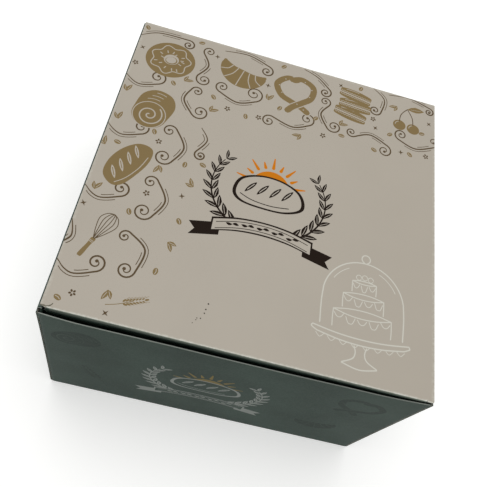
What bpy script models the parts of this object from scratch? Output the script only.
"""A tuck-top cake box, folded from one die-cut sheet of carton board.

The box is drawn as its maker draws it: as a flat blank of panels that meet at creases. Every
panel is an outline in its own plane, with X along the crease that it hangs from, Y away from
that crease and Z towards the inside of the box. Each panel is parented to the panel that it is
creased to, its origin lies on the crease, and its rotation about X is the angle of the fold.
With every fold at zero the blank lies flat.

The side walls are rolled: each outer wall folds over a narrow ridge into a lining, whose tongues
lock into slots in the base. The tabs of the front and back walls are held inside the rolled
walls. The lid folds from the back wall and rests on the ridges. Its tuck flap goes down behind
the front wall, and its two ears lie along the linings.

Units are metres, +Z is up, and the origin is the middle of the underside.
"""

import math

import bmesh
import bpy

# The box outside
BOX_WIDTH = 0.203
BOX_DEPTH = 0.2055
BOX_HEIGHT = 0.1275

# The carton board
BOARD = 0.0005
GAP = 0.0003
FOLD_ROUNDING_SHARE = 0.45
FOLD_STEPS = 3
ARC_STEPS = 8
ARC_REACH_SHARE = 0.45

# The front wall: how far its free edge stays below the ridges of the side walls
FRONT_DROP = 0.001
LOWER_CORNER_RADIUS = 0.0006
UPPER_CORNER_RADIUS = 0.0008

# The lower front corner on the left, which handling has pressed round
WORN_CORNER_RADIUS = 0.002

# The tabs that the rolled side walls hold
TAB_LENGTH = 0.062
TAB_TOP_DROP = 0.006
TAB_BOTTOM_RISE = 0.003
TAB_CORNER_RADIUS = 0.008
TAB_TAPER_DEG = 11.0

# The tongues of the linings, and their slots in the base
TONGUE_LENGTH = 0.038
TONGUE_SPACING = 0.104
TONGUE_LIFT = 0.0001
TONGUE_CORNER_RADIUS = 0.0003

# The lid and its tuck flap
LID_SIDE_INSET = 0.0006
LID_FRONT_SETBACK = 0.0023
LID_CORNER_RADIUS = 0.0009
TUCK_DEPTH = 0.032
TUCK_LEAN_DEG = 6.0
TUCK_CORNER_RADIUS = 0.003
TUCK_SHOULDER = 0.0012

# The ears at the ends of the tuck flap
EAR_LENGTH = 0.046
EAR_SIDE_CLEARANCE = 0.0008
EAR_TOP_MARGIN = 0.004
EAR_BOTTOM_MARGIN = 0.0015
EAR_TAPER_DEG = 6.0
EAR_CORNER_RADIUS = 0.006

# The folds, in degrees from the flat blank
SQUARE_FOLD_DEG = 90.0

# The sides of a panel, as the turn about Z from its far edge
FAR, LEFT, NEAR, RIGHT = 0.0, 90.0, 180.0, -90.0

# What follows from the sizes above
HALF_BOARD = BOARD / 2
FOLD_START = HALF_BOARD + GAP
WALL_LAYER = BOARD + GAP
HALF_WIDTH = BOX_WIDTH / 2
HALF_DEPTH = BOX_DEPTH / 2
SIDE_CREASE = HALF_WIDTH - HALF_BOARD
END_CREASE = HALF_DEPTH - HALF_BOARD
TAB_CREASE = SIDE_CREASE - WALL_LAYER
RIDGE_WIDTH = 2 * WALL_LAYER
LINING_PLANE = SIDE_CREASE - RIDGE_WIDTH
LINING_END = HALF_DEPTH - WALL_LAYER
BACK_HEIGHT = BOX_HEIGHT - BOARD
SIDE_HEIGHT = BACK_HEIGHT - WALL_LAYER
FRONT_HEIGHT = SIDE_HEIGHT + HALF_BOARD - FRONT_DROP
LINING_HEIGHT = SIDE_HEIGHT - FOLD_START
TONGUE_TIP = SIDE_HEIGHT + HALF_BOARD - TONGUE_LIFT
LID_HALF_WIDTH = HALF_WIDTH - LID_SIDE_INSET
LID_LENGTH = END_CREASE + HALF_DEPTH - LID_FRONT_SETBACK - HALF_BOARD
EAR_OUTER_FACE = LINING_PLANE - HALF_BOARD - EAR_SIDE_CLEARANCE
EAR_CREASE = EAR_OUTER_FACE - BOARD


def clear_scene():
    """Start from an empty scene."""
    for obj in list(bpy.data.objects):
        bpy.data.objects.remove(obj, do_unlink=True)


def board_material(name, colour, roughness):
    """Coated carton board: a printed sheet with a low sheen and no metal in it."""
    material = bpy.data.materials.new(name)
    material.use_nodes = True
    shader = material.node_tree.nodes["Principled BSDF"]
    shader.inputs["Base Color"].default_value = (*colour, 1.0)
    shader.inputs["Roughness"].default_value = roughness
    shader.inputs["Metallic"].default_value = 0.0
    return material


def rounded_outline(corners):
    """Points of a closed outline from (u, v, radius) corners, with an arc at each round one."""
    points = []
    count = len(corners)
    for index, (u, v, radius) in enumerate(corners):
        if radius <= 0:
            points.append((u, v))
            continue
        before, after = corners[index - 1], corners[(index + 1) % count]
        to_before = (before[0] - u, before[1] - v)
        to_after = (after[0] - u, after[1] - v)
        reach_before, reach_after = math.hypot(*to_before), math.hypot(*to_after)
        a = (to_before[0] / reach_before, to_before[1] / reach_before)
        b = (to_after[0] / reach_after, to_after[1] / reach_after)
        half_angle = math.acos(max(-1.0, min(1.0, a[0] * b[0] + a[1] * b[1]))) / 2
        along = min(radius / math.tan(half_angle), ARC_REACH_SHARE * min(reach_before, reach_after))
        radius = along * math.tan(half_angle)
        middle = (a[0] + b[0], a[1] + b[1])
        scale = radius / math.sin(half_angle) / math.hypot(*middle)
        centre = (u + middle[0] * scale, v + middle[1] * scale)
        start = math.atan2(v + a[1] * along - centre[1], u + a[0] * along - centre[0])
        finish = math.atan2(v + b[1] * along - centre[1], u + b[0] * along - centre[0])
        sweep = (finish - start + math.pi) % (2 * math.pi) - math.pi
        for step in range(ARC_STEPS + 1):
            angle = start + sweep * step / ARC_STEPS
            points.append((centre[0] + radius * math.cos(angle), centre[1] + radius * math.sin(angle)))
    return points


def round_folded_edges(sheet, sides, extent):
    """Round both rims of the sides that a fold runs along, so that the crease looks bent, not cut."""
    tests = {
        FAR: lambda co: abs(co.y - extent["far"]) < HALF_BOARD / 2,
        NEAR: lambda co: abs(co.y - extent["near"]) < HALF_BOARD / 2,
        RIGHT: lambda co: abs(co.x - extent["right"]) < HALF_BOARD / 2,
        LEFT: lambda co: abs(co.x - extent["left"]) < HALF_BOARD / 2,
    }
    rims = set()
    for side in sides:
        for edge in sheet.edges:
            level = abs(edge.verts[0].co.z - edge.verts[1].co.z) < HALF_BOARD / 2
            if level and all(tests[side](vert.co) for vert in edge.verts):
                rims.add(edge)
    bmesh.ops.bevel(
        sheet,
        geom=list(rims),
        offset=BOARD * FOLD_ROUNDING_SHARE,
        offset_type="OFFSET",
        segments=FOLD_STEPS,
        profile=0.5,
        affect="EDGES",
    )


def cut_slots(panel, slots):
    """Cut the rectangular slots (u, v, size along u, size along v) through the board."""
    for number, (u, v, size_u, size_v) in enumerate(slots):
        cutter_mesh = bpy.data.meshes.new(f"{panel.name}_slot_cutter_{number}")
        cutter_sheet = bmesh.new()
        bmesh.ops.create_cube(cutter_sheet, size=1.0)
        for vert in cutter_sheet.verts:
            vert.co = (u + vert.co.x * size_u, v + vert.co.y * size_v, vert.co.z * 2 * BOARD)
        cutter_sheet.to_mesh(cutter_mesh)
        cutter_sheet.free()
        cutter = bpy.data.objects.new(cutter_mesh.name, cutter_mesh)
        bpy.context.scene.collection.objects.link(cutter)
        cutter.parent = panel
        cutter.hide_render = True
        cutter.display_type = "WIRE"
        cut = panel.modifiers.new(f"slot_{number}", "BOOLEAN")
        cut.operation = "DIFFERENCE"
        cut.solver = "EXACT"
        cut.object = cutter


def fold_panel(
    name, outline, material, parent, at=(0.0, 0.0), side=FAR, fold_deg=SQUARE_FOLD_DEG,
    folded_sides=(), slots=(), on_inner_face=False,
):
    """Make one panel of the blank from its outline and fold it up from its parent.

    at is the panel's origin in the parent's plane and lies on the crease. side says which way
    the panel leaves its parent. The board's middle plane carries the crease, or its inner face
    does where a flap has to fold right in.
    """
    lift = HALF_BOARD if on_inner_face else 0.0
    sheet = bmesh.new()
    rim = [sheet.verts.new((u, v, -HALF_BOARD - lift)) for u, v in rounded_outline(outline)]
    face = sheet.faces.new(rim)
    thickened = bmesh.ops.extrude_face_region(sheet, geom=[face])
    for item in thickened["geom"]:
        if isinstance(item, bmesh.types.BMVert):
            item.co.z += BOARD
    bmesh.ops.recalc_face_normals(sheet, faces=sheet.faces)
    extent = {
        "far": max(vert.co.y for vert in sheet.verts),
        "near": min(vert.co.y for vert in sheet.verts),
        "right": max(vert.co.x for vert in sheet.verts),
        "left": min(vert.co.x for vert in sheet.verts),
    }
    if folded_sides:
        round_folded_edges(sheet, folded_sides, extent)
    mesh = bpy.data.meshes.new(name)
    sheet.to_mesh(mesh)
    sheet.free()
    mesh.shade_smooth()
    mesh.set_sharp_from_angle(angle=math.radians(SQUARE_FOLD_DEG / 2))
    mesh.materials.append(material)
    panel = bpy.data.objects.new(name, mesh)
    bpy.context.scene.collection.objects.link(panel)
    if parent:
        panel.parent = parent
        panel.location = (at[0], at[1], lift)
        panel.rotation_euler = (math.radians(fold_deg), 0.0, math.radians(side))
    cut_slots(panel, slots)
    return panel


def mirrored(outline):
    """The same outline for the opposite hand, with its corners still in order round it."""
    return [(-u, v, radius) for u, v, radius in reversed(outline)]


def base_panel(material):
    """The floor of the box, creased on all four sides, with a slot for each tongue."""
    reach_u = SIDE_CREASE + HALF_BOARD
    reach_v = END_CREASE + HALF_BOARD
    radius = LOWER_CORNER_RADIUS
    outline = [
        (-reach_u, -reach_v, WORN_CORNER_RADIUS), (reach_u, -reach_v, radius),
        (reach_u, reach_v, radius), (-reach_u, reach_v, radius),
    ]
    slot_width = BOARD + 2 * GAP
    slot_length = TONGUE_LENGTH + 2 * GAP
    slots = [
        (across * LINING_PLANE, along * TONGUE_SPACING / 2, slot_width, slot_length)
        for across in (-1, 1)
        for along in (-1, 1)
    ]
    base = fold_panel("base", outline, material, None, folded_sides=(FAR, NEAR, LEFT, RIGHT), slots=slots)
    base.location = (0.0, 0.0, HALF_BOARD)
    return base


def front_wall_panel(material, base):
    """The front wall, whose upper edge is a cut edge. Its X runs to the left of the box."""
    half = TAB_CREASE + HALF_BOARD
    top = UPPER_CORNER_RADIUS
    outline = [
        (-half, FOLD_START, LOWER_CORNER_RADIUS), (half, FOLD_START, WORN_CORNER_RADIUS),
        (half, FRONT_HEIGHT, top), (-half, FRONT_HEIGHT, top),
    ]
    at = (0.0, -END_CREASE)
    return fold_panel("front_wall", outline, material, base, at=at, side=NEAR, folded_sides=(LEFT, RIGHT))


def back_wall_panel(material, base):
    """The back wall, which reaches up to the lid's crease."""
    half = TAB_CREASE + HALF_BOARD
    top = BACK_HEIGHT + HALF_BOARD
    lower = LOWER_CORNER_RADIUS
    outline = [
        (-half, FOLD_START, lower), (half, FOLD_START, lower), (half, top, 0.0), (-half, top, 0.0),
    ]
    at = (0.0, END_CREASE)
    return fold_panel("back_wall", outline, material, base, at=at, folded_sides=(LEFT, RIGHT, FAR))


def wall_tab(name, material, wall, side, top):
    """A tab with slanted edges, which the rolled side wall holds between its two layers."""
    taper = math.tan(math.radians(TAB_TAPER_DEG)) * (TAB_LENGTH - FOLD_START)
    foot = FOLD_START + TAB_BOTTOM_RISE
    head = top - TAB_TOP_DROP
    outline = [
        (foot, FOLD_START, 0.0), (head, FOLD_START, 0.0),
        (head - taper, TAB_LENGTH, TAB_CORNER_RADIUS), (foot + taper, TAB_LENGTH, TAB_CORNER_RADIUS),
    ]
    if side == RIGHT:
        outline = mirrored(outline)
    at = (TAB_CREASE if side == RIGHT else -TAB_CREASE, 0.0)
    return fold_panel(name, outline, material, wall, at=at, side=side)


def rolled_side_wall(hand, material, base, side):
    """The outer wall, the ridge that it folds over, and the lining that comes down inside."""
    end = HALF_DEPTH
    front_radius = WORN_CORNER_RADIUS if side == LEFT else LOWER_CORNER_RADIUS
    front_end, back_end = (-end, end) if side == LEFT else (end, -end)
    radii = {front_end: front_radius, back_end: LOWER_CORNER_RADIUS}
    at = (SIDE_CREASE if side == RIGHT else -SIDE_CREASE, 0.0)
    top = SIDE_HEIGHT + HALF_BOARD
    wall_outline = [
        (-end, FOLD_START, radii[-end]), (end, FOLD_START, radii[end]), (end, top, 0.0), (-end, top, 0.0),
    ]
    wall = fold_panel(
        f"{hand}_wall", wall_outline, material, base, at=at, side=side, folded_sides=(FAR,)
    )
    ridge_reach = RIDGE_WIDTH + HALF_BOARD
    ridge_outline = [
        (-LINING_END, FOLD_START, 0.0), (LINING_END, FOLD_START, 0.0),
        (LINING_END, ridge_reach, 0.0), (-LINING_END, ridge_reach, 0.0),
    ]
    ridge = fold_panel(
        f"{hand}_ridge", ridge_outline, material, wall, at=(0.0, SIDE_HEIGHT), folded_sides=(FAR,)
    )
    fold_panel(f"{hand}_lining", lining_outline(), material, ridge, at=(0.0, RIDGE_WIDTH))


def lining_outline():
    """The lining's outline, which steps down at each tongue."""
    tip = TONGUE_CORNER_RADIUS
    outline = [(-LINING_END, FOLD_START, 0.0)]
    outline.append((-LINING_END, LINING_HEIGHT, LOWER_CORNER_RADIUS))
    for along in (-1, 1):
        middle = along * TONGUE_SPACING / 2
        outline.append((middle - TONGUE_LENGTH / 2, LINING_HEIGHT, 0.0))
        outline.append((middle - TONGUE_LENGTH / 2, TONGUE_TIP, tip))
        outline.append((middle + TONGUE_LENGTH / 2, TONGUE_TIP, tip))
        outline.append((middle + TONGUE_LENGTH / 2, LINING_HEIGHT, 0.0))
    outline.append((LINING_END, LINING_HEIGHT, LOWER_CORNER_RADIUS))
    outline.append((LINING_END, FOLD_START, 0.0))
    return outline


def lid_panel(material, back_wall):
    """The lid, creased to the back wall and, at its front, to the tuck flap."""
    reach = LID_LENGTH + HALF_BOARD
    outline = [
        (-LID_HALF_WIDTH, FOLD_START, 0.0), (LID_HALF_WIDTH, FOLD_START, 0.0),
        (LID_HALF_WIDTH, reach, LID_CORNER_RADIUS), (-LID_HALF_WIDTH, reach, LID_CORNER_RADIUS),
    ]
    return fold_panel("lid", outline, material, back_wall, at=(0.0, BACK_HEIGHT), folded_sides=(FAR,))


def tuck_flap_panel(material, lid):
    """The tuck flap. It leans in a little, so that it clears the front wall as the lid lifts."""
    half = EAR_CREASE + BOARD
    neck = half - TUCK_SHOULDER
    outline = [
        (-neck, FOLD_START, 0.0), (neck, FOLD_START, 0.0), (half, EAR_TOP_MARGIN, 0.0),
        (half, TUCK_DEPTH - EAR_BOTTOM_MARGIN, 0.0), (half - TUCK_CORNER_RADIUS, TUCK_DEPTH, 0.0),
        (-half + TUCK_CORNER_RADIUS, TUCK_DEPTH, 0.0), (-half, TUCK_DEPTH - EAR_BOTTOM_MARGIN, 0.0),
        (-half, EAR_TOP_MARGIN, 0.0),
    ]
    return fold_panel(
        "tuck_flap", outline, material, lid, at=(0.0, LID_LENGTH),
        fold_deg=SQUARE_FOLD_DEG + TUCK_LEAN_DEG, folded_sides=(LEFT, RIGHT),
    )


def ear_panel(name, material, tuck_flap, side):
    """An ear, creased on the board's inner face so that it can fold in behind the tuck flap."""
    taper = math.tan(math.radians(EAR_TAPER_DEG)) * EAR_LENGTH
    head = EAR_TOP_MARGIN
    foot = TUCK_DEPTH - EAR_BOTTOM_MARGIN
    outline = [
        (head, GAP, 0.0), (foot, GAP, 0.0),
        (foot - taper, EAR_LENGTH, EAR_CORNER_RADIUS), (head + taper, EAR_LENGTH, EAR_CORNER_RADIUS),
    ]
    if side == RIGHT:
        outline = mirrored(outline)
    at = (EAR_CREASE if side == RIGHT else -EAR_CREASE, 0.0)
    return fold_panel(name, outline, material, tuck_flap, at=at, side=side, on_inner_face=True)


def build_box():
    """Fold the whole box from its blank."""
    green = board_material("green_printed_board", (0.052, 0.068, 0.060), 0.38)
    cream = board_material("cream_printed_board", (0.45, 0.40, 0.32), 0.42)
    base = base_panel(green)
    for hand, side in (("left", LEFT), ("right", RIGHT)):
        rolled_side_wall(hand, green, base, side)
    front = front_wall_panel(green, base)
    back = back_wall_panel(green, base)
    wall_tab("front_left_tab", green, front, RIGHT, FRONT_HEIGHT)
    wall_tab("front_right_tab", green, front, LEFT, FRONT_HEIGHT)
    wall_tab("back_left_tab", green, back, LEFT, SIDE_HEIGHT)
    wall_tab("back_right_tab", green, back, RIGHT, SIDE_HEIGHT)
    lid = lid_panel(cream, back)
    tuck_flap = tuck_flap_panel(green, lid)
    ear_panel("left_ear", green, tuck_flap, LEFT)
    ear_panel("right_ear", green, tuck_flap, RIGHT)


clear_scene()
build_box()
